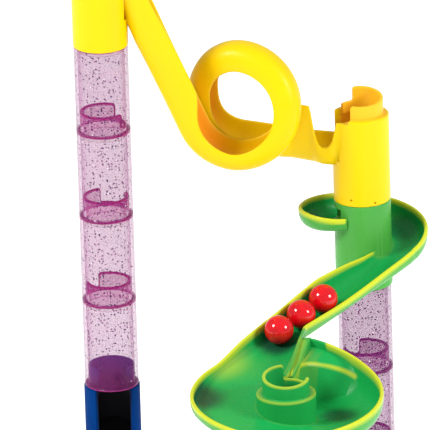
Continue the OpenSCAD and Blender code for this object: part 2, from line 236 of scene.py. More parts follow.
class Nodes:
    """A short way to write a node material."""

    def __init__(self, name):
        self.material = bpy.data.materials.new(name)
        self.material.use_nodes = True
        self.tree = self.material.node_tree
        self.shader = self.tree.nodes["Principled BSDF"]

    def add(self, kind, **inputs):
        node = self.tree.nodes.new(kind)
        for key, value in inputs.items():
            self.set(node, key.replace("_", " "), value)
        return node

    def set(self, node, key, value):
        socket = node.inputs[key]
        if isinstance(value, bpy.types.NodeSocket):
            self.tree.links.new(value, socket)
        else:
            socket.default_value = value

    def coordinates(self):
        return self.add("ShaderNodeTexCoord").outputs["Object"]

    def noise(self, scale, detail=3.0):
        node = self.add("ShaderNodeTexNoise", Vector=self.coordinates(), Scale=scale, Detail=detail)
        return node.outputs["Fac"]

    def attribute(self, name):
        node = self.add("ShaderNodeAttribute")
        node.attribute_name = name
        return node.outputs["Fac"]

    def span(self, value, low, high, to_low=0.0, to_high=1.0):
        node = self.tree.nodes.new("ShaderNodeMapRange")
        node.interpolation_type = "SMOOTHSTEP"
        for key, v in (("Value", value), ("From Min", low), ("From Max", high),
                       ("To Min", to_low), ("To Max", to_high)):
            self.set(node, key, v)
        return node.outputs["Result"]

    def maths(self, operation, a, b):
        node = self.tree.nodes.new("ShaderNodeMath")
        node.operation = operation
        node.use_clamp = True
        for i, v in enumerate((a, b)):
            if isinstance(v, bpy.types.NodeSocket):
                self.tree.links.new(v, node.inputs[i])
            else:
                node.inputs[i].default_value = v
        return node.outputs[0]

    def mix(self, factor, a, b):
        node = self.tree.nodes.new("ShaderNodeMix")
        node.data_type = "RGBA"
        for i, v in ((0, factor), (6, a), (7, b)):
            if isinstance(v, bpy.types.NodeSocket):
                self.tree.links.new(v, node.inputs[i])
            else:
                node.inputs[i].default_value = v if i == 0 else (*v, 1.0)
        return node.outputs[2]

    def bump(self, height, strength, distance):
        node = self.add("ShaderNodeBump", Height=height, Strength=strength, Distance=distance)
        self.set(self.shader, "Normal", node.outputs["Normal"])


def plastic(name, colour, shade_colour, light_and_shade_marks, roughness, gloss):
    """Glossy moulded plastic whose colour drifts a little. Its marks paint light and shade into the
    colour: each gives the colour that it takes where a part of it is painted with that mark."""
    n = Nodes(name)
    drift = n.span(n.noise(26.0, 4.0), 0.35, 0.68)
    body = n.mix(n.maths("MULTIPLY", drift, 0.55), colour, shade_colour)
    # Every mark is painted light or shade: shade inside, shadow patches, glow and highlights.
    for mark, mark_colour in light_and_shade_marks.items():
        body = n.mix(n.attribute(mark), body, mark_colour)
    n.set(n.shader, "Base Color", body)
    n.set(n.shader, "Roughness", n.span(n.noise(340.0), 0.3, 0.7, roughness - 0.05, roughness + 0.07))
    n.set(n.shader, "IOR", 1.48)
    n.set(n.shader, "Specular IOR Level", gloss)
    n.bump(n.noise(900.0, 2.0), 0.12, 0.0002)
    return n.material


def glitter_plastic(name, colour, band_colour, edge_colour, speck_colour, tint_share):
    """Clear tinted plastic with dark and bright flakes in it. tint_share is how much of the light
    a wall that is seen square on stops."""
    n = Nodes(name)
    place_at = n.coordinates()

    def flakes(scale, size, keep):
        cells = n.add("ShaderNodeTexVoronoi", Vector=place_at, Scale=scale)
        near = n.span(cells.outputs["Distance"], size, size * 1.5, 1.0, 0.0)
        pick = n.add("ShaderNodeSeparateColor", Color=cells.outputs["Color"]).outputs[0]
        return n.maths("MULTIPLY", near, n.span(pick, keep, keep + 0.02))

    dark = flakes(560.0, 0.22, 0.74)
    fine = flakes(900.0, 0.18, 0.6)
    light = flakes(400.0, 0.12, 0.93)
    band = n.attribute("band")
    edge = n.attribute("edge")
    body = n.mix(n.span(n.noise(60.0), 0.35, 0.65), colour, tuple(c * 0.9 for c in colour))
    tint = n.mix(edge, n.mix(band, body, band_colour), edge_colour)
    specks = n.mix(n.maths("MULTIPLY", fine, 0.6), tint, speck_colour)
    specks = n.mix(dark, specks, speck_colour)
    n.set(n.shader, "Base Color", n.mix(light, specks, (1.0, 1.0, 1.0)))
    rim = n.add("ShaderNodeLayerWeight", Blend=0.35).outputs["Facing"]
    clear = n.span(rim, 0.2, 0.95, tint_share, 0.55)
    solid = n.maths("MULTIPLY", clear, n.span(band, 0.0, 1.0, 1.0, 1.25))
    solid = n.maths("ADD", solid, edge)
    solid = n.maths("ADD", solid, n.maths("MULTIPLY", n.maths("ADD", dark, light), 0.75))
    solid = n.maths("ADD", solid, n.maths("MULTIPLY", fine, 0.35))
    n.set(n.shader, "Alpha", solid)
    n.set(n.shader, "Roughness", 0.16)
    n.set(n.shader, "Specular IOR Level", 0.25)
    n.set(n.shader, "IOR", 1.5)
    return n.material


def marble_glass(name):
    """Polished opaque red glass, with a slow swirl of two reds."""
    n = Nodes(name)
    warp = n.add("ShaderNodeTexNoise", Vector=n.coordinates(), Scale=90.0, Detail=2.0, Distortion=2.5)
    swirl = n.span(warp.outputs["Fac"], 0.4, 0.62)
    n.set(n.shader, "Base Color", n.mix(swirl, (0.76, 0.003, 0.009), (0.64, 0.003, 0.009)))
    n.set(n.shader, "Roughness", 0.08)
    n.set(n.shader, "IOR", 1.5)
    return n.material


# Yellow's inner colour is painted shade, orange as light bounced about inside the plastic makes it.
YELLOW = plastic("yellow_plastic", (0.9, 0.63, 0.002), (0.9, 0.61, 0.002),
                 {"inner": (1.0, 0.5, 0.03)}, 0.34, 0.16)
# Its rim colour, a yellow green, is painted glow and highlights.
# On the green, inner is a deeper green painted as shade and the dark green is painted shadow.
GREEN = plastic("green_plastic", (0.08, 0.39, 0.06), (0.05, 0.34, 0.06),
                {"inner": (0.01, 0.38, 0.08), "painted_shadow": (0.012, 0.1, 0.045), "rim": (0.62, 0.68, 0.03)},
                0.3, 0.18)
# Blue's inner colour is painted shade: the inside of a tower is painted nearly black.
BLUE = plastic("blue_plastic", (0.001, 0.04, 0.19), (0.001, 0.026, 0.15),
               {"inner": (0.013, 0.012, 0.015)}, 0.5, 0.01)
PINK = glitter_plastic("pink_glitter", (0.36, 0.035, 0.26), (0.55, 0.02, 0.27), (0.34, 0.0, 0.11),
                       (0.03, 0.004, 0.07), 0.2)
PURPLE = glitter_plastic("purple_glitter", (0.27, 0.02, 0.21), (0.34, 0.01, 0.22), (0.1, 0.0, 0.06),
                         (0.01, 0.002, 0.02), 0.26)
RED = marble_glass("red_marble")


# ---------- turned pieces ----------

def turning_angles(edges):
    """Angles round a turned piece, in degrees, closer together beside each edge of a notch."""
    angles = list(np.arange(0, 360, 3.0))
    for edge in edges:
        angles = [a for a in angles if abs((a - edge + 180) % 360 - 180) > 7.5]
        angles += [(edge + side * d) % 360 for side in (-1, 1) for d in (0.05, 0.5, 1.4, 3.0, 5.0, 7.0)]
    return sorted(angles)


def notch_top(a, start, end, low, high, corner=1.4):
    """Height of a notched wall's top at angle a, with rounded corners in and out."""
    span = (end - start) % 360
    inside = (a - start) % 360
    to_edge = min(inside, span - inside) if inside < span else -min(inside - span, 360 - inside)
    d = abs(to_edge) * math.pi / 180 * SPIGOT_R
    drop = corner - math.sqrt(max(corner ** 2 - max(corner - d, 0) ** 2, 0))
    return low + drop if to_edge > 0 else high - drop


def turned(name, at, profile, edges, material):
    """A closed turned solid. profile(angle) gives the section's (r, z) points."""
    angles = turning_angles(edges)
    rings = [profile(a) for a in angles]
    points = [(*(at + polar(r, a)), z) for a, ring in zip(angles, rings) for r, z in ring]
    return mesh(name, points, grid_faces(len(rings), len(rings[0]), True), material)


def module_profile(z, r, notch, slant=0.0, height=PITCH):
    """The section of a tube or hub that stands on level z: socket below, spigot above. slant is
    how far the spigot's front is lower than its back."""
    top = z + height

    def profile(a):
        high = SPIGOT_H - slant * (1 - math.sin(math.radians(a))) / 2
        h = top + notch_top(a, *notch, RING_H, high)
        s, b = SPIGOT_R, SPIGOT_BORE_R
        return [(BORE_R + 0.5, z), (BORE_R, z + 0.6), (BORE_R, z + 1.2),
                (BORE_R, top - SHOULDER_T - 1.2), (BORE_R, top - SHOULDER_T - 0.6),
                (BORE_R - 0.5, top - SHOULDER_T),
                (b + 0.4, top - SHOULDER_T), (b, top - SHOULDER_T + 0.4), (b, top - SHOULDER_T + 1),
                (b, h - 1.5), (b, h - 0.5), (b + 0.15, h - 0.15), (b + 0.5, h),
                (s - 0.6, h), (s - 0.2, h - 0.2), (s, h - 0.7), (s, h - 1.5),
                (s, top + 1), (s, top + 0.3), (s + 0.3, top),
                (r - 0.7, top), (r - 0.25, top - 0.2), (r, top - 0.7), (r, top - 1.3),
                (r, top - SHOULDER_T - 0.4), (r, z + 1.2), (r, z + 0.5), (r - 0.15, z + 0.15), (r - 0.5, z)]
    return profile


NOTCHES = {
    "tube_left_1": (60, 150), "tube_left_2": (-40, 52), "tube_left_3": (20, 99),
    "tube_left_4": (111, 180), "tube_left_5": (60, 140),
    "tube_right_1": (0, 90), "tube_right_2": (101, 170), "tube_right_3": (120, 200),
    "tube_front": (60, 150),
}


def tube(node, material):
    """A clear tube whose spigot is tinted, with darker edges."""
    z = corners(node)[0][2]
    notch = NOTCHES[node]
    obj = turned(node + "_clear", column(node), module_profile(z, TUBE_R, notch), notch, material)
    p = points_of(obj)
    up = p[:, 2] - z
    r = radius_from(column(node), p)
    tops = np.array([notch_top(math.degrees(math.atan2(y, x)), *notch, RING_H, SPIGOT_H)
                     for x, y in p[:, :2] - column(node)])
    on_spigot = (up > PITCH - SHOULDER_T - 0.1) & (r < TUBE_R - 1)
    near_top = np.abs(up - PITCH - tops) < 0.95
    near_shoulder = np.abs(up - PITCH) < 0.35
    at_foot = up < 0.55
    paint(obj, "band", on_spigot * 1.0)
    paint(obj, "edge", np.clip(near_top * 1.0 + near_shoulder * 0.7 + at_foot * 0.5, 0, 1))
    place(shade(obj), "structure", node)


for node in NOTCHES:
    if node.startswith("tube_left"):
        tube(node, PINK)
    else:
        tube(node, PURPLE)


# ---------- feet ----------

def foot(node):
    """A flat round foot with a boss that carries a spigot."""
    r = radius(node)
    boss = 18
    notch = (120, 200)

    def profile(a):
        h = FOOT_H + notch_top(a, *notch, RING_H, SPIGOT_H - 1)
        return [(0.01, 0), (r - 1.2, 0), (r - 0.3, 0.4), (r, 1.2), (r, 2.8), (r - 0.4, 3.7), (r - 1.3, 4.1),
                (boss + 6, 5.4), (boss + 2, 6.4), (boss + 0.5, 7.6), (boss, 9.2),
                (boss, FOOT_H - 0.7), (boss - 0.25, FOOT_H - 0.2), (boss - 0.8, FOOT_H),
                (SPIGOT_R + 0.3, FOOT_H), (SPIGOT_R, FOOT_H + 0.3), (SPIGOT_R, h - 0.7),
                (SPIGOT_R - 0.2, h - 0.2), (SPIGOT_R - 0.6, h), (SPIGOT_BORE_R + 0.5, h),
                (SPIGOT_BORE_R + 0.1, h - 0.15), (SPIGOT_BORE_R, h - 0.5),
                (SPIGOT_BORE_R, FOOT_H + 0.4), (SPIGOT_BORE_R - 0.4, FOOT_H), (0.01, FOOT_H)]
    obj = turned(node + "_base", column(node), profile, notch, BLUE)
    tidy(obj, 0.05)
    place(shade(obj), "structure", node)


for node in ("foot_left", "foot_right", "foot_front"):
    foot(node)


# ---------- towers with a front window ----------

TOWER_R = 15.5
TOWER_FRONT = 270         # the way that the window faces, in degrees
TOWER_WINDOW = 86         # degrees that the window takes
TOWER_FLOOR = 15
TOWER_SLOPE = 20          # degrees that the floor slants
LIP_HALF = 8.2
LIP_H = 5
LIP_T = 1.8
FLOOR_BODY_H = 14
BEYOND = 40               # farther out than the wall of any tower or hub


def span_solid(first, last):
    """A closed scratch solid between two flat outlines that have the same number of points."""
    n = len(first)
    faces = [tuple(range(n - 1, -1, -1)), tuple(range(n, 2 * n))]
    faces += [(i, (i + 1) % n, n + (i + 1) % n, n + i) for i in range(n)]
    return outward(mesh("scratch", list(first) + list(last), faces, YELLOW))


def prism(outline, z0, z1):
    """A closed upright prism over an outline of (x, y) points, as a scratch solid."""
    return span_solid([(x, y, z0) for x, y in outline], [(x, y, z1) for x, y in outline])


def turned_by(obj, turn, at):
    """Turns a scratch solid and moves it to a point in millimetres."""
    obj.data.transform(Matrix.Translation(Vector(at) * MM) @ turn.to_4x4())
    return obj


def rotation(axis, degrees):
    """A turn about an axis."""
    return Matrix.Rotation(math.radians(degrees), 3, axis)


def drum(at, z0, z1, r):
    """An upright round scratch solid."""
    return prism([at + polar(r, a) for a in range(0, 360, 4)], z0, z1)


def block(x0, x1, y0, y1, z0, z1):
    """A scratch box."""
    return prism([(x0, y0), (x1, y0), (x1, y1), (x0, y1)], z0, z1)


def add_floor(obj, at, low, high, cutter, turn, edge):
    """Fills a bore from low to high, and cuts the fill's top off along a slant through edge."""
    fill = drum(at, low, high, BORE_R + 0.5)
    slope = turned_by(cutter, turn, edge)
    return boolean(obj, boolean(fill, slope, "DIFFERENCE"), "UNION")


def soften(obj, width=0.35, angle=40):
    """Rounds the sharp edges that cuts leave."""
    modifier = obj.modifiers.new("soften", "BEVEL")
    modifier.width = width * MM
    modifier.segments = 2
    modifier.limit_method = "ANGLE"
    modifier.angle_limit = math.radians(angle)
    modifier.use_clamp_overlap = True
    apply_modifiers(obj)
    return obj


def window_tower(node):
    """A tower with a window in front, up through its spigot, and a floor that slants to it."""
    at, z = column(node), corners(node)[0][2]
    a, b = TOWER_FRONT - TOWER_WINDOW / 2, TOWER_FRONT + TOWER_WINDOW / 2
    notch = (a - 1, b + 1)
    obj = turned(node + "_body", at, module_profile(z, TOWER_R, notch), notch, BLUE)
    wedge = prism([at] + [at + polar(BEYOND, t) for t in np.linspace(a, b, 9)],
                  z + TOWER_FLOOR, z + PITCH + SPIGOT_H + 2)
    boolean(obj, wedge, "DIFFERENCE")
    low = z + SPIGOT_H + 1.5
    return add_floor(obj, at, low, low + FLOOR_BODY_H, block(-30, 30, -30, 60, 0, 40),
                     rotation("X", TOWER_SLOPE), (*at - (0, BORE_R), z + TOWER_FLOOR))


def paint_tower_shade(obj, node):
    """Paints shade, nearly black, into the inside of a tower, up to 2.5 mm below its top."""
    p = points_of(obj)
    within = ease((BORE_R + 0.6 - radius_from(column(node), p)) / 0.5)
    below_top = corners(node)[0][2] + PITCH + SPIGOT_H - p[:, 2]
    paint(obj, "inner", within * ease((below_top - 2.5) / 6))


def finish_tower(obj, node):
    """Rounds a tower's cut edges, paints shade into its inside and puts it in place."""
    tidy(soften(obj))
    paint_tower_shade(obj, node)
    place(shade(obj), "structure", node)


finish_tower(window_tower("window_tower_left"), "window_tower_left")


# ---------- swept channels ----------

PROFILE_STEPS = 22
PROFILE_POWER = 2 / 2.6
RIM_STEPS = 5


def channel_section(p, side, up, l, r, hl, hr, tl, tr, boxy=1.0):
    """One closed section of a channel with round rims. side points from the right wall to the
    left wall, up out of the channel; p is on the floor. l and r are the inside half widths,
    hl and hr the wall heights and tl and tr the wall thicknesses. boxy squares up the corner on
    the right. Also returns the tops of the two rims."""
    p, side, up = (np.array(v, float) for v in (p, side, up))
    mid, half = (l - r) / 2, (l + r) / 2
    angles = np.linspace(0, math.pi, PROFILE_STEPS + 1)
    left = angles < math.pi / 2
    power = PROFILE_POWER / np.where(left, 1.0, boxy)
    across = np.sign(np.cos(angles)) * np.abs(np.cos(angles)) ** power
    rise = 1 - np.abs(np.sin(angles)) ** power
    height = np.where(left, hl - tl / 2, hr - tr / 2)
    thick = np.where(left, tl, tr)
    inner = [(mid + half * x, h * v) for x, h, v in zip(across, height, rise)]
    outer = [(mid + (half + t) * x, -WALL + (h + WALL) * v)
             for x, h, v, t in zip(across, height, rise, thick)]

    def rim(x, z, radius, turn):
        steps = np.linspace(0, math.pi, RIM_STEPS + 2)[1:-1]
        return [(x - turn * radius * math.cos(s), z + radius * math.sin(s)) for s in steps]
    left_rim = rim(l + tl / 2, hl - tl / 2, tl / 2, -1)
    right_rim = rim(-r - tr / 2, hr - tr / 2, tr / 2, 1)
    ring = inner + right_rim[::-1] + outer[::-1] + left_rim
    tops = [p + side * (l + tl / 2) + up * hl, p - side * (r + tr / 2) + up * hr]
    return [p + side * x + up * z for x, z in ring], tops


def channel(name, sections, material):
    """A closed skin over the sections."""
    rings = [ring for ring, _ in sections]
    n = len(rings[0])
    points = [p for ring in rings for p in ring]
    faces = grid_faces(len(rings), n, False)
    inner = PROFILE_STEPS + 1
    side = RIM_STEPS
    last = (len(rings) - 1) * n
    pairs = [(i, 2 * inner + side - 1 - i) for i in range(inner)]
    for (a, b), (c, d) in zip(pairs, pairs[1:]):
        faces.append((a, b, d, c))
        faces.append((last + c, last + d, last + b, last + a))
    right_cap = list(range(inner - 1, inner + side + 1))
    left_cap = [0] + list(range(n - 1, n - side - 2, -1))
    faces.append(tuple(right_cap[::-1]))
    faces.append(tuple(last + k for k in right_cap))
    faces.append(tuple(left_cap))
    faces.append(tuple(last + k for k in left_cap[::-1]))
    return outward(mesh(name, points, faces, material))


# ---------- yellow loop chute ----------
# The loop stands in a plane turned by LOOP_TURN. In it t runs to the right, z up, and n is
# the distance behind it.

LOOP_TURN = math.radians(20)
LOOP_MID = np.array([77, 0, level(6) - 39])
LOOP_SIDE = np.array([math.sin(LOOP_TURN), math.cos(LOOP_TURN), 0])
LOOP_ALONG = np.array([math.cos(LOOP_TURN), -math.sin(LOOP_TURN), 0])
START_R = 33.5
END_R = 33.0
LOOP_SHIFT = 22.6
RAMP_ANGLE = 66.5
EXIT_ANGLE = 8
RAMP_LEN = 74
EXIT_LEN = 56
CHUTE_HALF = 8.7
CHUTE_T = 1.8
HUB_R = 15.2
WIDE_HUB_R = 15.8
LEFT_NOTCH = (110, 246)
LEFT_WINDOW_Z = 17
LEFT_SLOPE = 14           # degrees that the left hub's floor slants
RIGHT_NOTCH = (103, 238)
RIGHT_SILL = 22.4         # the right hub's opening starts this far above its bottom
RIGHT_CUT = (185, 238)    # between these angles the right hub ends 2 mm under its shoulder
HUB_SLANT = 3.6           # how far a slanted spigot's front is lower than its back
PITS = ((-7.7, 4), (5.4, 2))    # how far aside of the right hub's front, and how far up

loop_r = through([(-RAMP_ANGLE, START_R), (-20, 34.6), (0, 35), (45, 35), (90, 34.6), (135, 34.9),
                  (180, 35.3), (210, 34.3), (240, 32.4), (270, 31), (310, 31.8), (345, END_R)])
turn_near = through([(-66, 14), (-30, 12.5), (0, 11.5), (40, 12.5), (80, 12.9), (180, 14.2),
                     (270, 14), (300, 13.3), (345, 11)])
turn_far = through([(-66, 14), (80, 13), (180, 14.2), (270, 14), (310, 13.3), (345, 14.5)])
in_run = through([(-66.5, -15.4), (-40, -13.4), (-15, -11.9), (0, -11.2),
                  (30, LOOP_SHIFT * (30 / 360 - 0.5))])
ramp_n = through([(0, -21.4), (0.45, -18), (0.8, -16.4), (1, -15.4)])
exit_n = through([(0, LOOP_SHIFT * ((360 - EXIT_ANGLE) / 360 - 0.5)), (0.3, 14.6), (0.5, 16.3),
                  (0.8, 17.3), (1, 18.5)])
exit_near = through([(0, 11), (0.3, 10), (0.436, 14.6), (0.496, 27), (0.546, 35.2),
                     (0.726, 35.4), (0.776, 22), (0.816, 14), (0.846, 12), (0.885, 12.8), (0.92, 17),
                     (0.955, 27.5), (1, 27.5)])
exit_far = through([(0, 14.5), (0.5, 13.5), (1, 15.5)])


def loop_section(t, n, z, b, near, far, q=0.0):
    """The outer floor is at (t, z), and the section opens towards angle b. q turns it from
    square to the loop, at 0, to square to the hubs, at 1."""
    b = math.radians(b)
    up = LOOP_ALONG * math.cos(b) + np.array([0, 0, math.sin(b)])
    turn = LOOP_TURN * (1 - q)
    p = LOOP_MID + LOOP_ALONG * t + LOOP_SIDE * n + np.array([0, 0, z]) + up * WALL
    return channel_section(p, [math.sin(turn), math.cos(turn), 0], up, CHUTE_HALF, CHUTE_HALF,
                           far - WALL, near - WALL, CHUTE_T, CHUTE_T)


def ramp_station(s):
    """Down the ramp, from the left hub at 0 to the loop at 1."""
    back = RAMP_LEN * (1 - s)
    steep = math.radians(RAMP_ANGLE)
    b = 90 - RAMP_ANGLE + RAMP_ANGLE * (1 - ease(s / 0.75)) ** 1.6
    h = min(17 / math.cos(math.radians(b - 90 + RAMP_ANGLE)), 30) - 3 * ease((s - 0.7) / 0.3)
    lean = ease((1 - s) / 0.3)
    return loop_section(-START_R * math.sin(steep) - back * math.cos(steep), ramp_n(s),
                        -START_R * math.cos(steep) + back * math.sin(steep), b,
                        h + 4.7 * lean, h - 2.7 * lean, ease(1 - s / 0.25))


def turn_station(f):
    """Round the loop; f is in degrees from its bottom."""
    r = loop_r(f)
    n = in_run(f) if f < 30 else LOOP_SHIFT * (f / 360 - 0.5)
    a = math.radians(f)
    return loop_section(r * math.sin(a), n, -r * math.cos(a), f + 90, turn_near(f), turn_far(f))


def exit_station(s):
    """From the loop, at 0, to the right hub, at 1."""
    a = math.radians(EXIT_ANGLE)
    along = EXIT_LEN * s
    b = 450 - EXIT_ANGLE + EXIT_ANGLE * ease((s - 0.3) / 0.5)
    return loop_section(-END_R * math.sin(a) + along * math.cos(a), exit_n(s),
                        -END_R * math.cos(a) - along * math.sin(a), b, exit_near(s), exit_far(s),
                        ease((s - 0.8) / 0.2))


def loop_track():
    """The ramp, the loop and the exit, and the sections that they are made of."""
    sections = [ramp_station(s) for s in np.linspace(0, 1, 32)[:-1]]
    sections += [turn_station(f) for f in np.linspace(-RAMP_ANGLE, 360 - EXIT_ANGLE, 150)[:-1]]
    sections += [exit_station(s) for s in np.linspace(0, 1, 64)]
    return channel("loop_track", sections, YELLOW), sections


def loop_left_hub():
    """The hub that the ramp starts from, with a floor that slants to its window."""
    z = level(6)
    hub = turned("loop_left_hub", LEFT, module_profile(z, HUB_R, LEFT_NOTCH), LEFT_NOTCH, YELLOW)
    floor_top = z + LEFT_WINDOW_Z
    boolean(hub, block(BORE_R - 5, BORE_R + 5, -CHUTE_HALF + 0.2, CHUTE_HALF - 0.2,
                       floor_top - 1, floor_top + PITCH - LEFT_WINDOW_Z - 5), "DIFFERENCE")
    return add_floor(hub, LEFT, z + SPIGOT_H + 1.5, floor_top + 4, block(-60, 30, -30, 30, 0, 30),
                     rotation("Y", LEFT_SLOPE), (BORE_R - 1, 0, floor_top - 0.5))


def loop_right_hub():
    """The hub that the exit ends at. Its opening runs up through its top, its shoulder has a
    step, and two small pits lie near its foot."""
    z = level(4)
    hub = turned("loop_right_hub", RIGHT, module_profile(z, WIDE_HUB_R, RIGHT_NOTCH, HUB_SLANT),
                 RIGHT_NOTCH, YELLOW)
    x, y = RIGHT
    side = x - WIDE_HUB_R
    sill = z + RIGHT_SILL
    boolean(hub, block(side - 3, side + 7, -5.5, 5.5, sill, sill + 10), "DIFFERENCE")
    boolean(hub, block(side - 3.1, side + 7.1, -CHUTE_HALF + 0.2, CHUTE_HALF - 0.2,
                       sill + 2.6, z + PITCH + SPIGOT_H + 3), "DIFFERENCE")
    step = prism([RIGHT] + [RIGHT + polar(BEYOND, a) for a in np.linspace(*RIGHT_CUT, 7)],
                 z + PITCH - 2, z + PITCH + SPIGOT_H + 2)
    for aside, up in PITS:
        face = y - math.sqrt(WIDE_HUB_R ** 2 - aside ** 2)
        pit = turned_by(drum((0, 0), -1, 1, 0.65), rotation("X", 90), (x + aside, face, z + up))
        boolean(hub, pit, "DIFFERENCE")
    return boolean(hub, step, "DIFFERENCE")


def inner_share(obj, sections, depth=0.9):
    """1 where a channel's inner skin is nearer than its outer one, and 0 elsewhere."""
    count = PROFILE_STEPS + 1
    inner = [ring[i] for ring, _ in sections for i in range(count)]
    outer = [ring[count + RIM_STEPS + i] for ring, _ in sections for i in range(count)]
    p = points_of(obj)
    to_inner, to_outer = distance_to(inner, p), distance_to(outer, p)
    return ease((to_outer - to_inner) / depth)


def paint_loop_shade(obj, sections):
    """Paints shade into the inside of the loop's left half and, more weakly, into the hubs' insides."""
    p = points_of(obj)
    inside = inner_share(obj, sections)
    in_hubs = np.zeros(len(p), bool)
    for hub, top in ((LEFT, level(7)), (RIGHT, level(5))):
        in_bore = radius_from(hub, p) < BORE_R + 0.2
        inside = np.maximum(inside, in_bore & (p[:, 2] < top + SPIGOT_H - 1))
        in_hubs |= in_bore
    left_half = ease((LOOP_MID[0] - 4 - p[:, 0]) / 16)
    in_loop = ease((44 - np.linalg.norm(p - LOOP_MID, axis=1)) / 6)
    paint(obj, "inner", inside * np.maximum(left_half * in_loop, in_hubs * 0.7))


def loop_chute():
    """One moulding of the track and its two hubs."""
    track, sections = loop_track()
    boolean(track, loop_left_hub(), "UNION")
    boolean(track, loop_right_hub(), "UNION")
    tidy(soften(track, 0.3))
    track.name = "loop_chute_body"
    paint_loop_shade(track, sections)
    place(shade(track), "structure", "loop_chute")


loop_chute()


# ---------- green swirl chute ----------
# The trough starts as a cup left of the right hub, goes clockwise behind it, crosses over to the
# left of the front hub and goes counter-clockwise round that in a wide bowl. Heights are
# measured up from the front hub's shoulder, and run is the distance travelled from the left
# side of the right hub.

WRAP_R = 25
ROUND_R = 42
TROUGH_HALF = 9
HUB_FACE = 14.4
CUP_ANGLE = 230
BOWL_END = 430
FRONT_HUB_R = 16.3
FRONT_HUB_LOW = 2.4       # the front hub is this much shorter than a module
FRONT_NOTCH = (-10, 90)
FRONT_WINDOW = (31.5, 44)    # bottom and top of the front hub's window, above the hub's bottom
FRONT_WINDOW_HALF = 8.5
FRONT_WINDOW_WAY = 22     # the way that the window faces, in degrees
CUP_SILL = 37             # the right hub's window starts this far above the hub's bottom
CUP_WINDOW_H = 9.5
CUP_SLOPE = 12            # degrees that the right hub's floor slants
RIDGE_START = 88          # from here along the straight, the left side reaches to the ridge
WRAP_STATIONS = 110
STRAIGHT_STATIONS = 74
BOWL_STATIONS = 148
SWIRL_BASE = level(3)
BETWEEN = FRONT - RIGHT
HEADING = math.atan2(-BETWEEN[0], -BETWEEN[1]) + math.asin((WRAP_R + ROUND_R) / np.hypot(*BETWEEN))
AHEAD = np.array([-math.sin(HEADING), -math.cos(HEADING)])
ACROSS = np.array([math.cos(HEADING), -math.sin(HEADING)])
LEAVE = -math.degrees(HEADING)
REACH = 180 + LEAVE
LEAVE_AT = RIGHT + polar(WRAP_R, LEAVE)
STRAIGHT = np.hypot(*(FRONT + polar(ROUND_R, REACH) - LEAVE_AT))
WRAP_LEN = WRAP_R * math.radians(180 - LEAVE)

swirl_floor = through([(-22, 38.5), (0, 35), (99, 17.8), (160, 8.2), (209, 0.1), (246, -6.8),
                       (281, -11.5), (346, -16.5), (412, -19.5), (462, -20.5)])
rim_left = through([(-22, 43), (0, 44.5), (39, 40), (78, 33), (99, 27), (109, 24.5), (158, 15),
                    (199, 10.5), (225, 5), (246, 0.5), (262, -5), (281, -8), (346, -12),
                    (390, -15.5), (405, -18.5), (462, -19.3)])
rim_right = through([(-22, 44), (-17, 38.8), (0, 36), (17, 33), (24, 39), (99, 24), (112, 23.5),
                     (130, 24.2), (154, 23.5), (169, 20.5), (194, 14), (220, 7.7), (246, -0.3),
                     (281, -2.5), (346, -7), (412, -2), (440, 2.5), (462, 8)])
bowl_r = through([(REACH, 53.5), (165, 52.2), (215, 52.2), (250, 53), (380, 53), (420, 55),
                  (BOWL_END, 55)])


def cup_r(a):
    """How far the outer wall stands from the right hub's axis; the cup closes in on the hub."""
    return 36 if a < 165 else 15 + 21 * (1 - ((a - 165) / 72) ** 1.5)


RIDGE_OUT = FRONT + polar(53.5, 75)
RIDGE_IN = FRONT + polar(HUB_FACE, 84)


def ridge_reach(p):
    """How far the trough goes to the left before it meets the ridge or the front hub."""
    v, w = RIDGE_IN - RIDGE_OUT, p - RIDGE_OUT
    to_ridge = (v[0] * w[1] - v[1] * w[0]) / (v[1] * ACROSS[0] - v[0] * ACROSS[1])
    w = p - FRONT
    b, c = -(w @ ACROSS), w @ w - HUB_FACE ** 2
    to_hub = 1000 if b * b < c else b - math.sqrt(b * b - c)
    return min(max(to_ridge, TROUGH_HALF), to_hub)


def swirl_section(p, side, run, l, r, tl, tr):
    """A section whose floor and rims stand at the heights for this run."""
    floor_at = swirl_floor(run)
    boxy = 1 + 0.6 * ease((run - 175) / 25) * ease((300 - run) / 40)
    return channel_section((*p, SWIRL_BASE + floor_at), (*side, 0), (0, 0, 1), l, r,
                           rim_left(run) - floor_at, rim_right(run) - floor_at, tl, tr, boxy)


def wrap_station(a):
    """Round the right hub."""
    reach = max(cup_r(a) - WALL, HUB_FACE + 1.5) - WRAP_R
    return swirl_section(RIGHT + polar(WRAP_R, a), polar(1, a), WRAP_R * math.radians(180 - a),
                         reach, WRAP_R - HUB_FACE, WALL, 1)


def straight_station(s):
    """From the right hub to the bowl."""
    p = LEAVE_AT + AHEAD * s
    near_hub = ease((26 - s) / 20)
    left = TROUGH_HALF + 0.5 * near_hub if s < RIDGE_START else ridge_reach(p)
    right = TROUGH_HALF + 1.6 * near_hub + 0.5 * ease((s - 84) / 20)
    return swirl_section(p, ACROSS, WRAP_LEN + s, left, right, WALL, WALL - near_hub)


def bowl_station(a):
    """Round the front hub."""
    return swirl_section(FRONT + polar(ROUND_R, a), polar(-1, a),
                         WRAP_LEN + STRAIGHT + ROUND_R * math.radians(a - REACH),
                         ROUND_R - HUB_FACE, bowl_r(a) - WALL - ROUND_R, 1, WALL)


def bowl_end():
    """The wall that closes the end of the bowl, a wedge under the ridge."""
    low = -22
    first = BOWL_END - 360 - 1.5
    floor_plan = ((HUB_FACE, first), (54.4, first), (53.2, 73.9), (HUB_FACE, 81))
    wedge = prism([FRONT + polar(r, a) for r, a in floor_plan],
                  SWIRL_BASE + low, SWIRL_BASE + low + 40)
    along, across = polar(1, 74), polar(20, 164)
    outline = [(0, low + 0.4), (40, low + 0.8), (49, low + 6), (53, low + 14), (54, 8.5), (50, 8),
               (30, 3), (0, -0.5)]
    sides = [[(*(FRONT + along * u + across * v), SWIRL_BASE + z) for u, z in outline] for v in (-1, 1)]
    return boolean(wedge, span_solid(*sides), "INTERSECT")


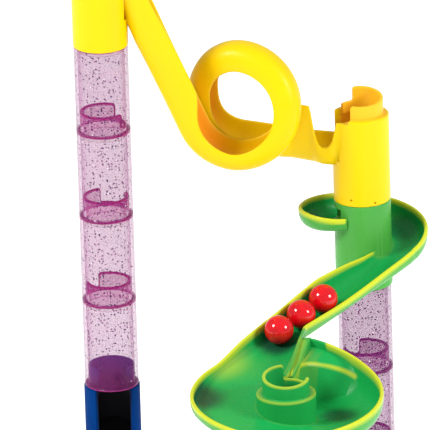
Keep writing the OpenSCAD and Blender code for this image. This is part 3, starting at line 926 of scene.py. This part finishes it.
# The shelf lies inside the back right of the bowl. Its crest is measured from the front hub's
# axis, and up from its shoulder's level.
CREST_POINTS = ((4, 14.3, 2), (9, 26, 1.5), (17, 33, 0.5), (26, 34.5, -2), (34, 33, -4.5),
                (41, 29, -7.5), (46, 23, -12))
shelf_crest = [through(list(enumerate(v))) for v in zip(*CREST_POINTS)]
shelf_angle = through([(0, 74), (3, 55), (6, 25)])
shelf_foot = through([(0, 0.3), (1, 6), (6, 6)])
BOWL_MID_R = 33.7
BOWL_MID_HALF = 20.3


def skin_point(u, a):
    """A point in the middle of the bowl's skin, at the part u of the way out to its wall."""
    run = WRAP_LEN + STRAIGHT + ROUND_R * math.radians(a + 360 - REACH)
    floor_at = swirl_floor(run)
    h = (rim_left(run) if u < 0 else rim_right(run)) - floor_at + 1
    rise = 1 - (1 - abs(u) ** (2 / PROFILE_POWER)) ** (PROFILE_POWER / 2)
    return np.array([*polar(BOWL_MID_R + BOWL_MID_HALF * u, a), floor_at - 1 + h * rise])


def crest_at(k):
    """A point of the shelf's crest, measured as CREST_POINTS are."""
    return np.array([axis(k) for axis in shelf_crest])


def shelf_station(k):
    """One section of the shelf, with a round crest."""
    crest = crest_at(k)
    a, b = shelf_angle(k), math.degrees(math.atan2(crest[1], crest[0]))
    foot = (np.hypot(*crest[:2]) - shelf_foot(k) - BOWL_MID_R) / BOWL_MID_HALF
    below = [skin_point(foot + (0.96 - foot) * t, b + (a - b) * t) for t in np.linspace(0, 1, 12)]
    top = skin_point(0.9975, a)
    soft = [crest + (q - crest) * min(3.0 / np.linalg.norm(q - crest), 0.4) for q in (top, below[0])]
    bend = [soft[0] * (1 - t) ** 2 + crest * 2 * t * (1 - t) + soft[1] * t * t
            for t in np.linspace(0, 1, 7)]
    return [q + (*FRONT, SWIRL_BASE) for q in (top, *bend, *below)]


def loft(name, rings, material):
    """A closed solid through rings that have the same number of points."""
    n = len(rings[0])
    points = [q for ring in rings for q in ring]
    faces = grid_faces(len(rings), n, False)
    faces += [tuple(range(n)), tuple(range(len(points) - n, len(points)))]
    return outward(mesh(name, points, faces, material))


def swirl_track():
    """The cup, the trough and the bowl, and the sections that they are made of."""
    sections = [wrap_station(a) for a in np.linspace(CUP_ANGLE, LEAVE, WRAP_STATIONS + 1)[:-1]]
    sections += [straight_station(s) for s in np.linspace(0, STRAIGHT, STRAIGHT_STATIONS + 1)[:-1]]
    sections += [bowl_station(a) for a in np.linspace(REACH, BOWL_END, BOWL_STATIONS)]
    return channel("swirl_track", sections, GREEN), sections


def swirl_right_hub():
    """The hub in the wrap, with a window to the cup and a floor that slants to it."""
    z = level(3)
    notch = (110, 200)
    hub = turned("swirl_right_hub", RIGHT, module_profile(z, WIDE_HUB_R, notch), notch, GREEN)
    x = RIGHT[0]
    sill = z + CUP_SILL
    boolean(hub, block(x - 24, x - 4, -CHUTE_HALF, CHUTE_HALF, sill, sill + CUP_WINDOW_H),
            "DIFFERENCE")
    return add_floor(hub, RIGHT, sill - 7, sill + 5, block(-30, 60, -30, 30, 0, 30),
                     rotation("Y", -CUP_SLOPE), (x - BORE_R, 0, sill))


def swirl_front_hub():
    """The hub in the bowl, with a window for the marbles."""
    z = level(2)
    profile = module_profile(z, FRONT_HUB_R, FRONT_NOTCH, HUB_SLANT, PITCH - FRONT_HUB_LOW)
    hub = turned("swirl_front_hub", FRONT, profile, FRONT_NOTCH, GREEN)
    low, high = FRONT_WINDOW
    window = turned_by(block(3, 23, -FRONT_WINDOW_HALF, FRONT_WINDOW_HALF, low, high),
                       rotation("Z", FRONT_WINDOW_WAY), (*FRONT, z))
    return boolean(hub, window, "DIFFERENCE")


def filled_in(points, parts=3):
    """Puts parts - 1 points between each two."""
    points = np.array(points)
    return [a + (b - a) * k / parts for a, b in zip(points, points[1:]) for k in range(parts)]


def near(at, size, points):
    """1 at a point, and 0 from size millimetres away."""
    return ease(1.6 * (size - distance_to([at], points)) / size)


def rim_glow_share(p, sections):
    """1 along the channel's two rims, as far as they carry painted yellow glow."""
    left_end, right_end = WRAP_STATIONS + 48, -6
    left = distance_to(filled_in([tops[0] for _, tops in sections[:left_end]]), p)
    right = distance_to(filled_in([tops[1] for _, tops in sections[:right_end]]), p)
    return np.maximum(ease((3.4 - left) / 1.2), ease((2.4 - right) / 1.2))


def front_hub_edge_glow(p):
    """Painted glow along the front hub's edges: the top of its spigot and, more weakly, its shoulder."""
    x, y, up = (p - (*FRONT, SWIRL_BASE - FRONT_HUB_LOW)).T
    turn = np.arctan2(y, x)
    r = np.hypot(x, y)
    high = SPIGOT_H - HUB_SLANT * (1 - np.sin(turn)) / 2
    tops = np.array([notch_top(math.degrees(a), *FRONT_NOTCH, RING_H, h) for a, h in zip(turn, high)])
    spigot = (np.abs(up - tops) < 0.8) * (r < SPIGOT_R + 0.3) * (r > 9)
    shoulder = (np.abs(up) < 0.75) * (r > FRONT_HUB_R - 1) * (r < FRONT_HUB_R + 0.1)
    return np.maximum(0.6 * spigot, 0.4 * shoulder)


def shade_spots():
    """Where painted shadow lies on the green in soft dark patches: a place, a size and a strength."""
    # Painted shadow under the first marble, where it rests.
    under_marble = np.mean(corners("marble_1"), axis=0) - (0, 0, 8)
    return ((under_marble, 16, 1),
            ((*(FRONT + polar(49, 160)), SWIRL_BASE - 8), 19, 1),
            ((*(FRONT + polar(29, 8)), SWIRL_BASE - 18), 14, 0.9),
            ((*(RIGHT + polar(27, 30)), SWIRL_BASE + 26), 16, 0.6),
            ((*(RIGHT + polar(24, 150)), SWIRL_BASE + 38), 15, 0.7),
            ((*(RIGHT + polar(27, 75)), SWIRL_BASE + 30), 14, 0.4))


def paint_swirl_light_and_shade(obj, sections):
    """Paints shade inside, glow and highlights on the rims, crest, ridge and a patch, and soft shadows."""
    p = points_of(obj)
    clear_of_hubs = np.minimum(radius_from(RIGHT, p), radius_from(FRONT, p)) - WIDE_HUB_R
    away = ease(clear_of_hubs / 2)
    inside = inner_share(obj, sections) * away
    # Painted highlights along the shelf's crest and along the ridge.
    crest = [crest_at(k) + (*FRONT, SWIRL_BASE) for k in np.linspace(0, 5, 41)]
    crest_highlight = ease((1.9 - distance_to(crest, p)) / 1.5)
    ridge = [(*(RIDGE_OUT + (RIDGE_IN - RIDGE_OUT) * t), SWIRL_BASE + 8 - 10 * t)
             for t in np.linspace(0.1, 1, 19)]
    ridge_highlight = ease((4.5 - distance_to(ridge, p)) / 4)
    # A patch of painted glow in the bowl.
    glow_at = (*(FRONT + (-30, 50)), SWIRL_BASE - 4)
    glow = ease((22 - distance_to([glow_at], p)) / 20) * inside
    in_hub = radius_from(FRONT, p) < FRONT_HUB_R + 0.2
    # Painted shadow in soft dark patches.
    dark = np.max([share * near(at, size, p) for at, size, share in shade_spots()], axis=0)
    # Painted light: shade inside, glow and highlights on the rim mark, and shadow in the dark patches.
    paint(obj, "inner", np.maximum(inside, in_hub * 0.9))
    paint(obj, "rim", np.max([rim_glow_share(p, sections) * away, crest_highlight * 0.85, ridge_highlight * 0.6,
                              glow * 0.5, front_hub_edge_glow(p)], axis=0))
    paint(obj, "painted_shadow", dark * inside)


def swirl_chute():
    """One moulding of the track, the bowl's end, the shelf and two hubs."""
    track, sections = swirl_track()
    boolean(track, bowl_end(), "UNION")
    boolean(track, loft("shelf", [shelf_station(k) for k in np.linspace(0, 6, 49)], GREEN), "UNION")
    boolean(track, swirl_right_hub(), "UNION")
    boolean(track, swirl_front_hub(), "UNION")
    tidy(track, 0.003)
    track.name = "swirl_chute_body"
    paint_swirl_light_and_shade(track, sections)
    place(shade(track), "structure", "swirl_chute")


swirl_chute()


# ---------- exit tower's lip, and the tray ----------

def exit_tower():
    """A window tower with a lip that lets marbles drop into the tray."""
    tower = window_tower("exit_tower_front")
    x, y = FRONT
    front = corners("exit_tower_front")[0][1]
    floor_top = level(0) + TOWER_FLOOR
    path = ((y - 12, 0), (y - 20, 0), (y - 30, 0.1), (front + 3, 0.4), (front, 0.9))
    sections = [channel_section((x, y_at, floor_top - drop), (1, 0, 0), (0, 0, 1),
                                LIP_HALF, LIP_HALF, LIP_H + drop, LIP_H + drop, LIP_T, LIP_T)
                for y_at, drop in path]
    return boolean(tower, channel("lip", sections, BLUE), "UNION")


finish_tower(exit_tower(), "exit_tower_front")


def tray(node):
    """A round-cornered tray with a rolled rim."""
    low, high = corners(node)
    middle = (low[:2] + high[:2]) / 2
    half = (high[:2] - low[:2]) / 2
    corner = 20
    height = high[2]
    quarters = enumerate(((1, 1), (-1, 1), (-1, -1), (1, -1)))
    corner_turns = [(np.array(signs) * (half - corner), q * 90 + t)
                    for q, signs in quarters for t in range(0, 91, 6)]

    def outline(inset):
        return [middle + centre + polar(corner - inset, a) for centre, a in corner_turns]

    rings = [(3, 0), (1.2, 0.1), (0.4, 0.5), (0.05, 1.2), (0, 2.5), (0, height - 3.2),
             (-0.01, height - 2.6), (0.05, height - 1.1), (0.35, height - 0.4),
             (0.9, height - 0.05), (1.5, height - 0.05), (2.1, height - 0.4),
             (2.45, height - 1.1), (2.5, height - 3), (2.6, 6.5), (3, 4.6),
             (4, 3.3), (5.6, 2.7), (7.5, 2.5)]
    points = [[(x, y, z) for x, y in outline(inset)] for inset, z in rings]
    obj = tidy(loft(node + "_body", points, YELLOW))
    place(shade(obj), "structure", node)


tray("catch_tray")


# ---------- marbles ----------

def marble(k):
    """A ball that rides on its own body."""
    node = f"marble_{k}"
    low, high = corners(node)
    centre, r = (low + high) / 2, (high[0] - low[0]) / 2
    around, down = 64, 32
    points = [(*(centre[:2] + polar(r * math.sin(math.pi * j / down), 360 * i / around)),
               centre[2] + r * math.cos(math.pi * j / down))
              for j in range(1, down) for i in range(around)]
    points += [(*centre[:2], centre[2] + r), (*centre[:2], centre[2] - r)]
    rows = down - 1
    top = rows * around
    faces = grid_faces(rows, around, False)
    faces += [(top, i, (i + 1) % around) for i in range(around)]
    last = (rows - 1) * around
    faces += [(top + 1, last + (i + 1) % around, last + i) for i in range(around)]
    obj = outward(mesh(node + "_ball", points, faces, RED))
    place(shade(obj), f"marble_{k}_body", node)


for k in (1, 2, 3):
    marble(k)


# ---------- floor, light, camera ----------

def floor():
    """A wide pale floor that glows a little, so that it stays white."""
    n = Nodes("pale_floor")
    n.set(n.shader, "Base Color", n.mix(n.noise(3.0), (0.93, 0.93, 0.93), (0.91, 0.91, 0.91)))
    n.set(n.shader, "Roughness", 0.9)
    n.set(n.shader, "Specular IOR Level", 0.1)
    n.set(n.shader, "Emission Color", (1, 1, 1, 1))
    n.set(n.shader, "Emission Strength", 0.5)
    half = 4000
    obj = mesh("floor", [(-half, -half, 0), (half, -half, 0), (half, half, 0), (-half, half, 0)],
               [(0, 1, 2, 3)], n.material)


LAMPS_AIM = Vector((0.07, -0.05, 0.2))


def lamp(name, azimuth, elevation, size, power, distance=1.6):
    """A soft square lamp that looks at the middle of the run."""
    data = bpy.data.lights.new(name, "AREA")
    data.size = size
    data.energy = power
    obj = bpy.data.objects.new(name, data)
    bpy.context.scene.collection.objects.link(obj)
    a, e = math.radians(azimuth), math.radians(elevation)
    away = Vector((math.sin(a) * math.cos(e), -math.cos(a) * math.cos(e), math.sin(e)))
    obj.location = LAMPS_AIM + away * distance
    obj.rotation_euler = away.to_track_quat("Z", "Y").to_euler()


def studio():
    """Even white light from all round, shown without a film curve."""
    world = bpy.data.worlds.new("studio")
    world.use_nodes = True
    background = world.node_tree.nodes["Background"]
    background.inputs["Color"].default_value = (1, 1, 1, 1)
    background.inputs["Strength"].default_value = 0.5
    bpy.context.scene.world = world
    bpy.context.scene.view_settings.view_transform = "Standard"


def camera():
    """Looks down from the front, a little from the left, from far away, tilted slightly."""
    azimuth, elevation, roll = (math.radians(v) for v in (-5.736, 20.96, -1.716))
    aim = Vector((0.0603, 0.0, 0.2074))
    distance = 6.0
    back = Vector((math.sin(azimuth) * math.cos(elevation), -math.cos(azimuth) * math.cos(elevation),
                   math.sin(elevation)))
    data = bpy.data.cameras.new("camera")
    data.sensor_width = 36
    data.lens = 908.2
    data.clip_end = 50
    obj = bpy.data.objects.new("camera", data)
    bpy.context.scene.collection.objects.link(obj)
    obj.location = aim + back * distance
    turn = back.to_track_quat("Z", "Y").to_matrix() @ Matrix.Rotation(roll, 3, "Z")
    obj.rotation_euler = turn.to_euler()
    bpy.context.scene.camera = obj


floor()
lamp("key_left", -67, 42, 0.45, 17)
lamp("key_right", 58, 26, 0.45, 15)
studio()
camera()
